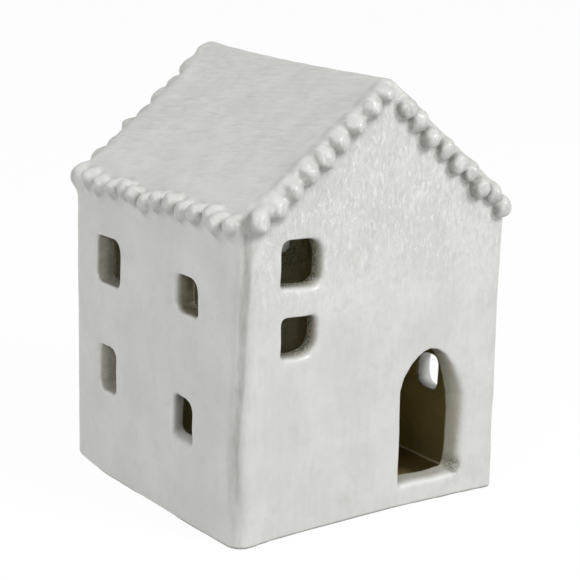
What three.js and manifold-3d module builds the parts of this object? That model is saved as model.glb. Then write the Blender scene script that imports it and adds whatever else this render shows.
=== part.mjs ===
// A ceramic Christmas light house: clay slabs luted with slip into four walls, a floor and a
// pitched roof, with hand-rolled clay beads pressed along the eaves and the gable verges.
// Millimetres, +Z up. The origin is on the table, under the middle of the house. X runs along
// the front wall, and the front wall, which holds the door, faces -Y.

import * as THREE from 'three';
import { mergeVertices } from 'three/addons/utils/BufferGeometryUtils.js';
import Module from 'manifold-3d';

// House slabs
const HOUSE_WIDTH = 110;
const HOUSE_DEPTH = 108;
const EAVE_HEIGHT = 110.5; // roof surface above the outer face of a side wall
const RIDGE_HEIGHT = 154.8; // where the two roof surfaces would meet in a sharp line
const WALL_THICKNESS = 7.2;
const ROOF_THICKNESS = 7.2;
const FLOOR_THICKNESS = 4.5;
const SLIP = 0.3; // joint between neighbouring pieces, filled by the slip that lutes them
const CORNER_RADIUS = 4.5; // upright corners of the house
const FOOT_RADIUS = 1.5; // edge that stands on the table
const RIDGE_RADIUS = 3;
const LIGHT_HOLE_DIAMETER = 46; // a candle or lamp comes in through the floor

// Openings, cut by hand while the clay was soft
const REVEAL_RADIUS = 1.8; // softened outer edge of every opening
const WINDOW_CORNER_RADIUS = 4.2;
const CORNER_LIMIT = 0.45; // a rounded corner takes at most this share of a side
const FRONT_COLUMN_INSET = 34; // middle of a side window from the front face of the house
const BACK_COLUMN_INSET = 22.5; // and from the back face
const RIGHT_LOWER_FRONT_INSET = 29; // the right wall's lower front window stands nearer to the front
const FRONT_WINDOW_INSET = 23.2; // middle of a front window from the left corner
const BACK_WINDOW_INSET = 28; // middle of a back window from the nearer corner
// Each window's middle above the table, and its size
const UPPER_BACK_WINDOW = { up: 79.2, width: 16.3, height: 17.9 };
const UPPER_FRONT_WINDOW = { up: 77.8, width: 14.3, height: 13 };
const LOWER_BACK_WINDOW = { up: 39.3, width: 13.1, height: 17.3 };
const LEFT_LOWER_FRONT_WINDOW = { up: 35.8, width: 12.6, height: 14.8 };
const RIGHT_LOWER_FRONT_WINDOW = { up: 37.5, width: 9.6, height: 14.4 };
const GABLE_UPPER_WINDOW = { up: 94, width: 14.8, height: 14 };
const GABLE_LOWER_WINDOW = { up: 69.2, width: 13.2, height: 11.8 };
const BACK_WINDOW = { up: 78, width: 14.2, height: 13.2 };
const DOOR_INSET = 30.3; // middle of the door from the right corner
const DOOR_WIDTH = 27;
const DOOR_SILL = 9; // above the table
const DOOR_LEFT_JAMB = 32; // straight parts above the sill, the left one longer
const DOOR_RIGHT_JAMB = 23;
const DOOR_HEIGHT = 49; // tip of the arch above the sill
const DOOR_SHOULDER = 9.5; // reach of the arch's curve above a jamb
const DOOR_TIP = 5.5; // and to each side of the tip
const DOOR_CORNER_RADIUS = 2.4;

// Beads
const FRONT_LEFT_VERGE_BEAD_COUNT = 7;
const FRONT_RIGHT_VERGE_BEAD_COUNT = 8;
const BACK_VERGE_BEAD_COUNT = 7;
const EAVE_BEAD_COUNT = 13;
const VERGE_BEAD_HEIGHT = 9.4; // across the row, up the face of the gable
const VERGE_BEAD_DEPTH = 8.6;
const VERGE_BEAD_DROP = 4.3; // middle of a bead below the roof surface
const VERGE_BEAD_STAND = 1.1; // middle of a bead in front of the gable face
const EAVE_BEAD_HEIGHT = 7.4;
const EAVE_BEAD_DEPTH = 7.4;
const EAVE_BEAD_DROP = 2.5;
const EAVE_BEAD_STAND = 2.2;
const CORNER_BEAD_DIAMETER = 9.8;
const CORNER_BEAD_INSET = 1.5; // middle of a corner bead inside the outer face of the side wall
const APEX_BEAD_DIAMETER = 8.4;
const BEAD_WANDER = 0.7; // how far a hand-set bead strays from its line
const WANDER_TURN = 2.1; // radians from bead to bead of that straying
const BEAD_PRESS = 1.2; // how far joined beads are pushed into each other

// Facets
const ARC_STEPS = 5;
const REVEAL_STEPS = 2;
const BEAD_SIDES = 10;
const BEAD_RINGS = 6;
const CUT_PAST = 0.1; // a cutter reaches this far past the face that it cuts

const WHITE_GLAZE = { color: 0xd9dad4, roughness: 0.4, metalness: 0 };
const BARE_CLAY = { color: 0x4b3c27, roughness: 0.85, metalness: 0 };

const halfWidth = HOUSE_WIDTH / 2;
const halfDepth = HOUSE_DEPTH / 2;
const slope = (RIDGE_HEIGHT - EAVE_HEIGHT) / halfWidth;
const pitch = Math.atan(slope);
const plumb = 1 / Math.cos(pitch); // turns a distance square to the roof into a height

const wasm = await Module();
wasm.setup();

// Solids and meshes

function solid(geometry) {
  geometry.deleteAttribute('normal');
  geometry.deleteAttribute('uv');
  const merged = mergeVertices(geometry);
  return new wasm.Manifold(new wasm.Mesh({
    numProp: 3,
    vertProperties: new Float32Array(merged.attributes.position.array),
    triVerts: new Uint32Array(merged.index.array),
  }));
}

function mesh(name, body, finish) {
  const { vertProperties, triVerts } = body.getMesh();
  const geometry = new THREE.BufferGeometry();
  geometry.setAttribute('position', new THREE.BufferAttribute(vertProperties, 3));
  geometry.setIndex(new THREE.BufferAttribute(triVerts, 1));
  geometry.computeVertexNormals();
  const piece = new THREE.Mesh(geometry, new THREE.MeshStandardMaterial(finish));
  piece.name = name;
  return piece;
}

// A shape drawn in X and Z, extruded between two places on Y.
function alongY(shape, from, to) {
  const geometry = new THREE.ExtrudeGeometry(shape, {
    depth: to - from, bevelEnabled: false, curveSegments: ARC_STEPS,
  });
  return solid(geometry.rotateX(Math.PI / 2).translate(0, to, 0));
}

function polygon(...corners) {
  return new THREE.Shape(corners.map(([across, up]) => new THREE.Vector2(across, up)));
}

function roundedRectangle(middle, up, { width, height }, cornerRadius) {
  const radius = Math.min(cornerRadius, CORNER_LIMIT * Math.min(width, height));
  const left = middle - width / 2 + radius;
  const right = middle + width / 2 - radius;
  const bottom = up - height / 2 + radius;
  const top = up + height / 2 - radius;
  const shape = new THREE.Shape();
  shape.absarc(right, bottom, radius, -Math.PI / 2, 0);
  shape.absarc(right, top, radius, 0, Math.PI / 2);
  shape.absarc(left, top, radius, Math.PI / 2, Math.PI);
  shape.absarc(left, bottom, radius, Math.PI, 1.5 * Math.PI);
  shape.closePath();
  return shape;
}

// Heights of the roof over a place on X

const roofTop = (x) => RIDGE_HEIGHT - slope * Math.abs(x);
const roofUnder = (x) => roofTop(x) - ROOF_THICKNESS * plumb;
const wallTop = (x) => roofUnder(x) - SLIP * plumb;

// The outside of the whole house with its softened corners, foot and ridge, grown all round.
function houseOutside(grow) {
  const plan = roundedRectangle(
    0, 0,
    { width: HOUSE_WIDTH + 2 * grow, height: HOUSE_DEPTH + 2 * grow },
    CORNER_RADIUS + grow,
  );
  const upright = solid(new THREE.ExtrudeGeometry(plan, {
    depth: RIDGE_HEIGHT,
    bevelThickness: FOOT_RADIUS,
    bevelSize: FOOT_RADIUS,
    bevelOffset: -FOOT_RADIUS,
    bevelSegments: REVEAL_STEPS,
    curveSegments: ARC_STEPS,
  }).translate(0, 0, FOOT_RADIUS));
  const side = halfWidth + 2 * grow;
  const ridge = RIDGE_HEIGHT + grow * plumb;
  const profile = new THREE.Shape();
  profile.moveTo(-side, 0);
  profile.lineTo(side, 0);
  profile.lineTo(side, ridge - slope * side);
  profile.absarc(0, ridge - RIDGE_RADIUS * plumb, RIDGE_RADIUS, Math.PI / 2 - pitch, Math.PI / 2 + pitch);
  profile.lineTo(-side, ridge - slope * side);
  profile.closePath();
  const reach = halfDepth + 2 * grow;
  return upright.intersect(alongY(profile, -reach, reach));
}

// Openings: a plug that widens in a quarter round toward the outer face of the wall

const plugLength = 2 * (WALL_THICKNESS + REVEAL_RADIUS);

function openingPlug(shape) {
  return new THREE.ExtrudeGeometry(shape, {
    depth: 2 * WALL_THICKNESS,
    bevelThickness: REVEAL_RADIUS,
    bevelSize: -REVEAL_RADIUS,
    bevelOffset: REVEAL_RADIUS,
    bevelSegments: REVEAL_STEPS,
    curveSegments: ARC_STEPS,
  }).translate(0, 0, REVEAL_RADIUS);
}

// The plug's shape is drawn in X and Z. Side is -1 for the front wall and 1 for the back wall.
function gableOpening(shape, side) {
  const end = side < 0 ? plugLength - halfDepth - CUT_PAST : halfDepth + CUT_PAST;
  return solid(openingPlug(shape).rotateX(Math.PI / 2).translate(0, end, 0));
}

// The plug's shape is drawn in Y and Z. Side is -1 for the left wall and 1 for the right wall.
function sideOpening(shape, side) {
  const start = side < 0 ? -halfWidth - CUT_PAST : halfWidth + CUT_PAST - plugLength;
  return solid(openingPlug(shape).rotateX(Math.PI / 2).rotateZ(Math.PI / 2).translate(start, 0, 0));
}

// The door is a bullet, drawn up to a rounded tip from two unequal jambs.
function doorShape() {
  const middle = halfWidth - DOOR_INSET;
  const left = middle - DOOR_WIDTH / 2;
  const right = middle + DOOR_WIDTH / 2;
  const leftJamb = DOOR_SILL + DOOR_LEFT_JAMB;
  const rightJamb = DOOR_SILL + DOOR_RIGHT_JAMB;
  const top = DOOR_SILL + DOOR_HEIGHT;
  const corner = DOOR_CORNER_RADIUS;
  const shape = new THREE.Shape();
  shape.absarc(right - corner, DOOR_SILL + corner, corner, -Math.PI / 2, 0);
  shape.lineTo(right, rightJamb);
  shape.bezierCurveTo(right, rightJamb + DOOR_SHOULDER, middle + DOOR_TIP, top, middle, top);
  shape.bezierCurveTo(middle - DOOR_TIP, top, left, leftJamb + DOOR_SHOULDER, left, leftJamb);
  shape.absarc(left + corner, DOOR_SILL + corner, corner, Math.PI, 1.5 * Math.PI);
  shape.closePath();
  return shape;
}

const windowShape = (along, size) => roundedRectangle(along, size.up, size, WINDOW_CORNER_RADIUS);

// Slabs

const outside = houseOutside(0);

// A gable wall runs the full width of the house, under both roof slabs.
function gableWall(name, side, openings) {
  const outline = polygon(
    [-halfWidth, 0], [halfWidth, 0], [halfWidth, wallTop(halfWidth)], [0, wallTop(0)],
    [-halfWidth, wallTop(halfWidth)],
  );
  const inner = halfDepth - WALL_THICKNESS;
  const slab = side < 0 ? alongY(outline, -halfDepth, -inner) : alongY(outline, inner, halfDepth);
  const cut = openings.reduce((body, shape) => body.subtract(gableOpening(shape, side)), slab);
  return mesh(name, cut.intersect(outside), WHITE_GLAZE);
}

// A side wall stands between the gable walls, with its top bevelled to the roof.
function sideWall(name, side, windows) {
  const inner = halfWidth - WALL_THICKNESS;
  const profile = polygon(
    [side * halfWidth, 0], [side * inner, 0], [side * inner, wallTop(inner)],
    [side * halfWidth, wallTop(halfWidth)],
  );
  const end = halfDepth - WALL_THICKNESS - SLIP;
  const slab = alongY(profile, -end, end);
  const cut = windows.reduce((body, shape) => body.subtract(sideOpening(shape, side)), slab);
  return mesh(name, cut.intersect(outside), WHITE_GLAZE);
}

// A roof slab lies on three walls and meets the other slab in a mitre under the ridge.
function roofSlab(name, side) {
  const mitre = SLIP / 2;
  const profile = polygon(
    [side * halfWidth, roofTop(halfWidth)], [side * halfWidth, roofUnder(halfWidth)],
    [side * mitre, roofUnder(mitre)], [side * mitre, roofTop(mitre)],
  );
  return mesh(name, alongY(profile, -halfDepth, halfDepth).intersect(outside), WHITE_GLAZE);
}

function floorSlab() {
  const inset = WALL_THICKNESS + SLIP;
  const side = halfWidth - inset;
  const end = halfDepth - inset;
  const plan = polygon([-side, -end], [side, -end], [side, end], [-side, end]);
  plan.holes.push(new THREE.Path().absarc(0, 0, LIGHT_HOLE_DIAMETER / 2, 0, 2 * Math.PI, true));
  const slab = new THREE.ExtrudeGeometry(plan, {
    depth: FLOOR_THICKNESS, bevelEnabled: false, curveSegments: 4 * ARC_STEPS,
  });
  return mesh('floor_slab', solid(slab), BARE_CLAY);
}

// Beads

const bed = houseOutside(SLIP);

// One rolled bead: length lies along the row, height across it, depth out from the wall.
function beadBody(place, row, out, { length, height, depth }) {
  const across = new THREE.Vector3().crossVectors(row, out);
  const frame = new THREE.Matrix4().makeBasis(row, out, across).setPosition(place);
  const ball = new THREE.SphereGeometry(1, BEAD_SIDES, BEAD_RINGS);
  return solid(ball.scale(length / 2, depth / 2, height / 2).applyMatrix4(frame)).subtract(bed);
}

// A row of beads that fills what its two end beads leave free. Overlap is how far neighbours in
// the row are pushed into each other, and the row keeps the width of a joint to its end beads.
function rowBodies(from, to, out, count, ends, { height, depth }, overlap) {
  const row = new THREE.Vector3().subVectors(to, from);
  const free = row.length() - (ends.from + ends.to) / 2 - 2 * SLIP;
  row.normalize();
  const across = new THREE.Vector3().crossVectors(row, out);
  const length = (free + (count - 1) * overlap) / count;
  const first = ends.from / 2 + SLIP + length / 2;
  return Array.from({ length: count }, (_, i) => {
    const place = from.clone().addScaledVector(row, first + i * (length - overlap));
    place.addScaledVector(across, BEAD_WANDER * Math.sin(WANDER_TURN * (i + 1)));
    return beadBody(place, row, out, { length, height, depth });
  });
}

const separateRow = (name, bodies) => bodies.map((body, i) => mesh(`${name}_${i + 1}`, body, WHITE_GLAZE));
const joinedRow = (name, bodies) => [mesh(name, bodies.reduce((all, body) => all.add(body)), WHITE_GLAZE)];

const vergeHeight = (x) => roofTop(x) - VERGE_BEAD_DROP * plumb;
const vergeFace = halfDepth + VERGE_BEAD_STAND;
const cornerX = halfWidth - CORNER_BEAD_INSET;
const vergeSize = { height: VERGE_BEAD_HEIGHT, depth: VERGE_BEAD_DEPTH };
const eaveSize = { height: EAVE_BEAD_HEIGHT, depth: EAVE_BEAD_DEPTH };

function roundBead(name, place, side, diameter) {
  const size = { length: diameter, height: diameter, depth: diameter };
  const body = beadBody(place, new THREE.Vector3(1, 0, 0), new THREE.Vector3(0, side, 0), size);
  return mesh(name, body, WHITE_GLAZE);
}

const apexPlace = (side) => new THREE.Vector3(0, side * vergeFace, vergeHeight(0));
function cornerPlace(sideX, sideY) {
  return new THREE.Vector3(sideX * cornerX, sideY * vergeFace, vergeHeight(cornerX));
}

// The beads up one verge, from its corner bead to the apex bead.
function vergeBodies(sideX, sideY, count, overlap) {
  const ends = { from: CORNER_BEAD_DIAMETER, to: APEX_BEAD_DIAMETER };
  const out = new THREE.Vector3(0, sideY, 0);
  return rowBodies(cornerPlace(sideX, sideY), apexPlace(sideY), out, count, ends, vergeSize, overlap);
}

// The beads along one eave, from its back corner bead to its front corner bead.
function eaveBodies(side, overlap) {
  const ends = { from: CORNER_BEAD_DIAMETER, to: CORNER_BEAD_DIAMETER };
  const line = { x: side * (halfWidth + EAVE_BEAD_STAND), z: EAVE_HEIGHT - EAVE_BEAD_DROP };
  const back = new THREE.Vector3(line.x, vergeFace, line.z);
  const front = new THREE.Vector3(line.x, -vergeFace, line.z);
  return rowBodies(back, front, new THREE.Vector3(side, 0, 0), EAVE_BEAD_COUNT, ends, eaveSize, overlap);
}

const frontOpenings = [
  windowShape(FRONT_WINDOW_INSET - halfWidth, GABLE_UPPER_WINDOW),
  windowShape(FRONT_WINDOW_INSET - halfWidth, GABLE_LOWER_WINDOW),
  doorShape(),
];
const backOpenings = [
  windowShape(BACK_WINDOW_INSET - halfWidth, BACK_WINDOW),
  windowShape(halfWidth - BACK_WINDOW_INSET, BACK_WINDOW),
];
const frontColumn = FRONT_COLUMN_INSET - halfDepth;
const backColumn = halfDepth - BACK_COLUMN_INSET;
const sideWindows = [
  windowShape(backColumn, UPPER_BACK_WINDOW),
  windowShape(frontColumn, UPPER_FRONT_WINDOW),
  windowShape(backColumn, LOWER_BACK_WINDOW),
];
const leftLowerFront = windowShape(frontColumn, LEFT_LOWER_FRONT_WINDOW);
const rightLowerFront = windowShape(RIGHT_LOWER_FRONT_INSET - halfDepth, RIGHT_LOWER_FRONT_WINDOW);

const house = new THREE.Group();
house.add(
  floorSlab(),
  gableWall('front_gable_wall', -1, frontOpenings),
  gableWall('back_gable_wall', 1, backOpenings),
  sideWall('left_wall', -1, [...sideWindows, leftLowerFront]),
  sideWall('right_wall', 1, [...sideWindows, rightLowerFront]),
  roofSlab('left_roof_slab', -1),
  roofSlab('right_roof_slab', 1),
  roundBead('front_apex_bead', apexPlace(-1), -1, APEX_BEAD_DIAMETER),
  roundBead('front_left_corner_bead', cornerPlace(-1, -1), -1, CORNER_BEAD_DIAMETER),
  roundBead('front_right_corner_bead', cornerPlace(1, -1), -1, CORNER_BEAD_DIAMETER),
  ...separateRow('front_left_verge_bead', vergeBodies(-1, -1, FRONT_LEFT_VERGE_BEAD_COUNT, -SLIP)),
  ...separateRow('front_right_verge_bead', vergeBodies(1, -1, FRONT_RIGHT_VERGE_BEAD_COUNT, -SLIP)),
  ...separateRow('left_eave_bead', eaveBodies(-1, -SLIP)),
  ...joinedRow('right_eave_beads', eaveBodies(1, BEAD_PRESS)),
  roundBead('back_apex_bead', apexPlace(1), 1, APEX_BEAD_DIAMETER),
  roundBead('back_left_corner_bead', cornerPlace(-1, 1), 1, CORNER_BEAD_DIAMETER),
  roundBead('back_right_corner_bead', cornerPlace(1, 1), 1, CORNER_BEAD_DIAMETER),
  ...joinedRow('back_left_verge_beads', vergeBodies(-1, 1, BACK_VERGE_BEAD_COUNT, BEAD_PRESS)),
  ...joinedRow('back_right_verge_beads', vergeBodies(1, 1, BACK_VERGE_BEAD_COUNT, BEAD_PRESS)),
);

export default house;
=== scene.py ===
import math

import bmesh
import bpy
import numpy as np
import openvdb
from mathutils import Matrix, Vector


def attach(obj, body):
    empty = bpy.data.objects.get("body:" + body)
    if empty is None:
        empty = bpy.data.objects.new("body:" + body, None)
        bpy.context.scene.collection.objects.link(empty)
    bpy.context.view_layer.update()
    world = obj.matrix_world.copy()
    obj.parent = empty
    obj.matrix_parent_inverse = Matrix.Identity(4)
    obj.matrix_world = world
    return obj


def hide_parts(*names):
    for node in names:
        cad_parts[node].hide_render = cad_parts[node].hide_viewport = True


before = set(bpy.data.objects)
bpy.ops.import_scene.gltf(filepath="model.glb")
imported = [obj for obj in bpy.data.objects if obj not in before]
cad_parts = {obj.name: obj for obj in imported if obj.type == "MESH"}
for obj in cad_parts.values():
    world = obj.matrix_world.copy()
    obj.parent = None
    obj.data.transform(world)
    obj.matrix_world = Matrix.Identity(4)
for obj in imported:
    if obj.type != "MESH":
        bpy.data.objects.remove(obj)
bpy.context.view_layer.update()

# Sizes of the house in millimetres
MM = 0.001
HALF_WIDTH = 55.0
HALF_DEPTH = 54.0
EAVE_HEIGHT = 110.5
RIDGE_HEIGHT = 154.8
WALL = 7.2
FLOOR = 3.0  # as it looks through the door, thinner than the part's slab
LIGHT_HOLE_RADIUS = 23.0
LIGHT_HOLE_TOP = 20.0  # where the cutter of the hole ends, in the empty room
NEAR_CORNER, RIGHT_CORNER, LEFT_CORNER, FAR_CORNER = 5.5, 3.2, 3.0, 4.0
FOOT_ROUND = 0.6
FAR_FOOT_ROUND = 2.8  # more towards the far left corner
ROOM_CORNER = 2.0
ROOM_RIDGE_ROUND = 3.0
RIDGE_ROUND = 3.0
EAVE_ROUND = 7.0
LEFT_VERGE_ROUND = 2.6
RIGHT_VERGE_ROUND = 6.0
BACK_VERGE_ROUND = 8.5
SLOPE = (RIDGE_HEIGHT - EAVE_HEIGHT) / HALF_WIDTH
PITCH = math.atan(SLOPE)

# Softness of the glazed clay: how far a fillet runs, in millimetres
CRISP_ARRIS = 0.9
HOLE_ARRIS = 1.5
SEAM_ARRIS = 1.0
BASE_ARRIS = 0.5
INSIDE_ROUND = 1.2
BEAD_TO_BEAD = 0.8
BEAD_TO_WALL = 1.2
BEAD_TO_LEFT_GABLE = 3.2
BEAD_TO_ROOF = 2.6

# The block of space that the clay is worked in, and the size of its grain
VOXEL = 0.6
LOW = (-63.0, -63.0, -4.0)
HIGH = (63.0, 63.0, 159.0)
BAND = 3.0
BEAD_BAND = 6.0


def axis_points(axis):
    count = int((HIGH[axis] - LOW[axis]) / VOXEL) + 1
    return (LOW[axis] + VOXEL * np.arange(count)).astype(np.float32)


XS, YS, ZS = (axis_points(axis) for axis in range(3))
X = XS[:, None, None]
Y = YS[None, :, None]
Z = ZS[None, None, :]
SHAPE = (len(XS), len(YS), len(ZS))
CORNERS = np.where(X < 0, np.where(Y < 0, NEAR_CORNER, LEFT_CORNER), np.where(Y < 0, RIGHT_CORNER, FAR_CORNER))
CORNERS = CORNERS.astype(np.float32)


# Blends, ramps and hand-made unevenness


def soft_max(a, b, k):
    share = np.clip(0.5 + 0.5 * (a - b) / k, 0, 1)
    return b + (a - b) * share + k * share * (1 - share)


def soft_min(a, b, k):
    return -soft_max(-a, -b, k)


def ramp(value, start, end):
    t = np.clip((value - start) / (end - start), 0, 1)
    return t * t * (3 - 2 * t)


def spline_rows(points, period, start):
    """Weights that carry a lattice of random heights, one per period, smoothly to each point."""
    at = (points - start) / period
    base = np.floor(at).astype(int)
    t = at - base
    weights = np.zeros((len(points), base.max() + 4), np.float32)
    parts = ((1 - t) ** 3, 3 * t**3 - 6 * t**2 + 4, -3 * t**3 + 3 * t**2 + 3 * t + 1, t**3)
    for step, part in enumerate(parts):
        weights[np.arange(len(points)), base + step] = part / 6
    return weights


def lumps(periods, seed):
    """Smooth random heights of about -1 to 1 through the block, with a period in mm along each axis."""
    rows = [spline_rows(p, d, low) for p, d, low in zip((XS, YS, ZS), periods, LOW)]
    field = np.random.default_rng(seed).uniform(-2, 2, [r.shape[1] for r in rows]).astype(np.float32)
    field = np.tensordot(rows[0], field, (1, 0))
    field = np.tensordot(field, rows[1], (1, 1)).transpose(0, 2, 1)
    return np.tensordot(field, rows[2], (2, 1))


# Slabs: walls, roof and floor as thrown off true by hand

SEAM_RADIUS = 1.8
SEAM_STAND = 1.35  # how far outside the corner the groove's middle lies
# How far each slab stands off true
LEFT_BOW = 2.6  # outwards at the foot of the left wall's middle
LEFT_BOW_FALL = 2.2  # less towards the wall's ends
LEFT_BOW_TOP = 105.0  # height where the bow ends
LEFT_BACK_LEAN = 1.1
LEFT_NEAR_LEAN = 0.5
RIGHT_LEAN = 1.8
RIGHT_WAIST = 0.6  # hollows across the right wall, at mid height
RIGHT_ANKLE = 0.75  # and near the foot
FRONT_HOLLOW = 1.6  # inwards at the foot of the front wall's middle
FRONT_HOLLOW_FALL = 1.5
FRONT_HOLLOW_TOP = 75.0
FRONT_NEAR_LEAN = 0.9
FRONT_NEAR_TOP = 30.0
RIDGE_SAG = 2.05
RIDGE_TILT = 0.0146
RIDGE_CURVE = 0.00043


def bends():
    """How far the clay stands off its true place along each axis, by position in the block."""
    to_end = (Y / 46) ** 2
    fall = LEFT_BOW_FALL * np.where(Y > 0, to_end, 0.48 * to_end)
    left_bow = -(LEFT_BOW - fall) * np.clip(1 - Z / LEFT_BOW_TOP, 0, 1)
    left_bow = left_bow - LEFT_BACK_LEAN * ramp(Y, 10, 50)
    left_bow = left_bow - LEFT_NEAR_LEAN * ramp(-Y, 42, 50) * ramp(Z, 4, 14)
    waist, ankle = np.exp(-(((Z - 80) / 24) ** 2)), np.exp(-(((Z - 24) / 9) ** 2))
    right_bow = RIGHT_LEAN - RIGHT_WAIST * waist - RIGHT_ANKLE * ankle
    left = ramp(-X, -20, 45)
    dx = left * left_bow + (1 - left) * right_bow
    front = ramp(-Y, -20, 45)
    hollow = FRONT_HOLLOW - FRONT_HOLLOW_FALL * ((X + 8) / 48) ** 2
    dy = front * hollow * np.clip(1 - Z / FRONT_HOLLOW_TOP, 0, 1)
    dy = dy - FRONT_NEAR_LEAN * front * ramp(-X, 34, 54) * np.clip(1 - Z / FRONT_NEAR_TOP, 0, 1)
    high = ramp(Z, 95, 150)
    dz = high * (-RIDGE_SAG + RIDGE_TILT * Y + RIDGE_CURVE * Y * Y)
    return dx.astype(np.float32), dy.astype(np.float32), dz.astype(np.float32)


def plan_distance(x, y, inset, corner):
    across = np.abs(x) - (HALF_WIDTH - inset - corner)
    along = np.abs(y) - (HALF_DEPTH - inset - corner)
    outside = np.hypot(np.maximum(across, 0), np.maximum(along, 0))
    return outside + np.minimum(np.maximum(across, along), 0) - corner


def roof_distance(x, z, inset, soft):
    left = (z - RIDGE_HEIGHT - SLOPE * x) * math.cos(PITCH) + inset
    right = (z - RIDGE_HEIGHT + SLOPE * x) * math.cos(PITCH) + inset
    return soft_max(left, right, soft)


def outline_distance(u, v, points):
    """Distance from an outline drawn on a wall, less than zero inside it."""
    points = np.asarray(points, np.float32)
    best = np.full(np.broadcast_shapes(u.shape, v.shape), 1e9, np.float32)
    inside = np.zeros(best.shape, bool)
    for (au, av), (bu, bv) in zip(points, np.roll(points, -1, 0)):
        du, dv = bu - au, bv - av
        along = np.clip(((u - au) * du + (v - av) * dv) / (du * du + dv * dv), 0, 1)
        best = np.minimum(best, (u - au - along * du) ** 2 + (v - av - along * dv) ** 2)
        if dv != 0:
            crosses = ((av <= v) != (bv <= v)) & (u < (v - av) * du / dv + au)
            inside ^= crosses
    best = np.sqrt(best)
    return np.where(inside, -best, best)


def window_outline(*corners):
    """A window cut by hand: its corners across, up and rounded, from the lower left round to the right."""
    points = []
    for turn, (u, v, rounding) in enumerate(corners):
        ends = []
        for other_u, other_v, _ in (corners[turn - 1], corners[(turn + 1) % len(corners)]):
            share = rounding / math.hypot(other_u - u, other_v - v)
            ends.append((u + share * (other_u - u), v + share * (other_v - v)))
        pulls = list(zip(ends[0], (u, v), ends[1]))
        for t in np.linspace(0, 1, 7):
            points.append([(1 - t) ** 2 * a + 2 * t * (1 - t) * b + t * t * c for a, b, c in pulls])
    return points


def window(low_u, high_u, low_v, high_v, *rounding):
    places = ((low_u, low_v), (high_u, low_v), (high_u, high_v), (low_u, high_v))
    return window_outline(*(place + (each,) for place, each in zip(places, rounding)))


# Each opening: its outline on the outer face, how far its far jamb and its sill close in through the wall,
# and the softness of their arris
LEFT_WINDOWS = (
    (window(23.1, 39.6, 71.5, 88.4, 3.5, 3.5, 3.0, 5.0), 5.0, 1.0, 1.5),
    (window(-27.4, -12.6, 72.4, 85.4, 2.5, 4.5, 4.0, 5.5), 4.5, 1.0, 1.5),
    (window(24.0, 37.1, 31.5, 48.8, 3.5, 4.5, 3.5, 5.5), 6.0, 1.0, 1.5),
    (window(-25.9, -15.4, 27.7, 43.2, 3.5, 3.0, 3.0, 5.0), -4.0, 1.0, 2.8),
)
RIGHT_WINDOWS = (
    (window(23.3, 39.6, 70.2, 88.1, 4.5, 4.5, 4.5, 4.5), 2.0, 1.0, 1.5),
    (window(-27.2, -12.9, 71.3, 84.3, 4.0, 4.0, 4.5, 5.0), 2.0, 1.0, 1.5),
    (window(25.1, 38.2, 30.6, 47.9, 4.5, 4.0, 4.5, 4.5), 2.0, 1.0, 1.5),
    (window(-29.5, -18.3, 30.4, 43.8, 3.5, 5.5, 6.0, 4.0), -0.4, 0.4, 1.5),
)
FRONT_WINDOWS = (
    (window_outline((-40.1, 86.6, 1.6), (-23.9, 85.5, 5.5), (-24.2, 101.7, 6.5), (-40.8, 102.7, 4.5)), -0.2, 0.6, 2.2),
    (window_outline((-39.3, 62.9, 1.6), (-25.2, 62.1, 8.0), (-25.5, 76.2, 3.5), (-40.2, 76.6, 2.4)), -0.6, 0.2, 2.2),
)
BACK_WINDOWS = (
    (window(-35.0, -19.0, 70.5, 85.5, 4.0, 4.5, 5.0, 4.5), 1.0, 1.0, 2.0),
    (window(20.5, 37.5, 69.0, 84.5, 4.5, 4.0, 4.5, 5.0), 1.0, 1.0, 2.0),
)
DOOR_OUTLINE = (
    (13.6, 9.0), (13.2, 16), (12.9, 22.5), (12.5, 34), (12.4, 43.0), (13.9, 47.6), (17.2, 52.2), (19.6, 54.4),
    (22.0, 55.9), (24.9, 56.6), (28.4, 55.9), (32.4, 53.2), (36.4, 48.4), (39.3, 42.8), (41.4, 37.5), (42.0, 30.4),
    (41.9, 19.1), (41.4, 10.6), (39.8, 8.1), (30, 7.7), (22, 7.9), (15, 7.8), (13.9, 8.0),
)
DOOR = (DOOR_OUTLINE, 4.0, 1.6, 1.8)
CUT_DEEP = 20.0  # how far into the house a cutter is worked out
CUT_ROUND = 8.0  # and how far round its outline
CUT_PAST = 6.0  # how far it reaches past the wall


def cut_opening(body, depth, axis, way, opening):
    """Cuts an opening through a wall: crisp on its near side, soft on its far side and its sill."""
    outline, jamb, sill, softness = opening
    (low_u, low_v), (high_u, high_v) = np.min(outline, 0), np.max(outline, 0)
    mid_u, mid_v = (low_u + high_u) / 2, (low_v + high_v) / 2
    out, across = (XS, YS) if axis == 0 else (YS, XS)
    near_wall = out * way > (HALF_WIDTH, HALF_DEPTH)[axis] - CUT_DEEP
    near_u = (across > low_u - CUT_ROUND) & (across < high_u + CUT_ROUND)
    near_v = (ZS > low_v - CUT_ROUND) & (ZS < high_v + CUT_ROUND)
    near = (near_wall, near_u, near_v) if axis == 0 else (near_u, near_wall, near_v)
    place = tuple(slice(*np.flatnonzero(n)[[0, -1]]) for n in near)
    u = Y[:, place[1]] if axis == 0 else X[place[0]]
    v = Z[:, :, place[2]]
    inward = np.clip(depth[place] / WALL, -0.3, 1.3)
    far, foot = ramp(u, mid_u, high_u), ramp(-v, -mid_v, -low_v)
    hole = outline_distance(u + jamb * inward * far, v - sill * inward * foot, outline)
    hole = np.maximum(hole, depth[place] - WALL - CUT_PAST)
    arris = CRISP_ARRIS + (softness - CRISP_ARRIS) * np.maximum(far, foot) * ramp(-depth[place], -5, -2)
    body[place] = soft_max(body[place], -hole, arris)


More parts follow.
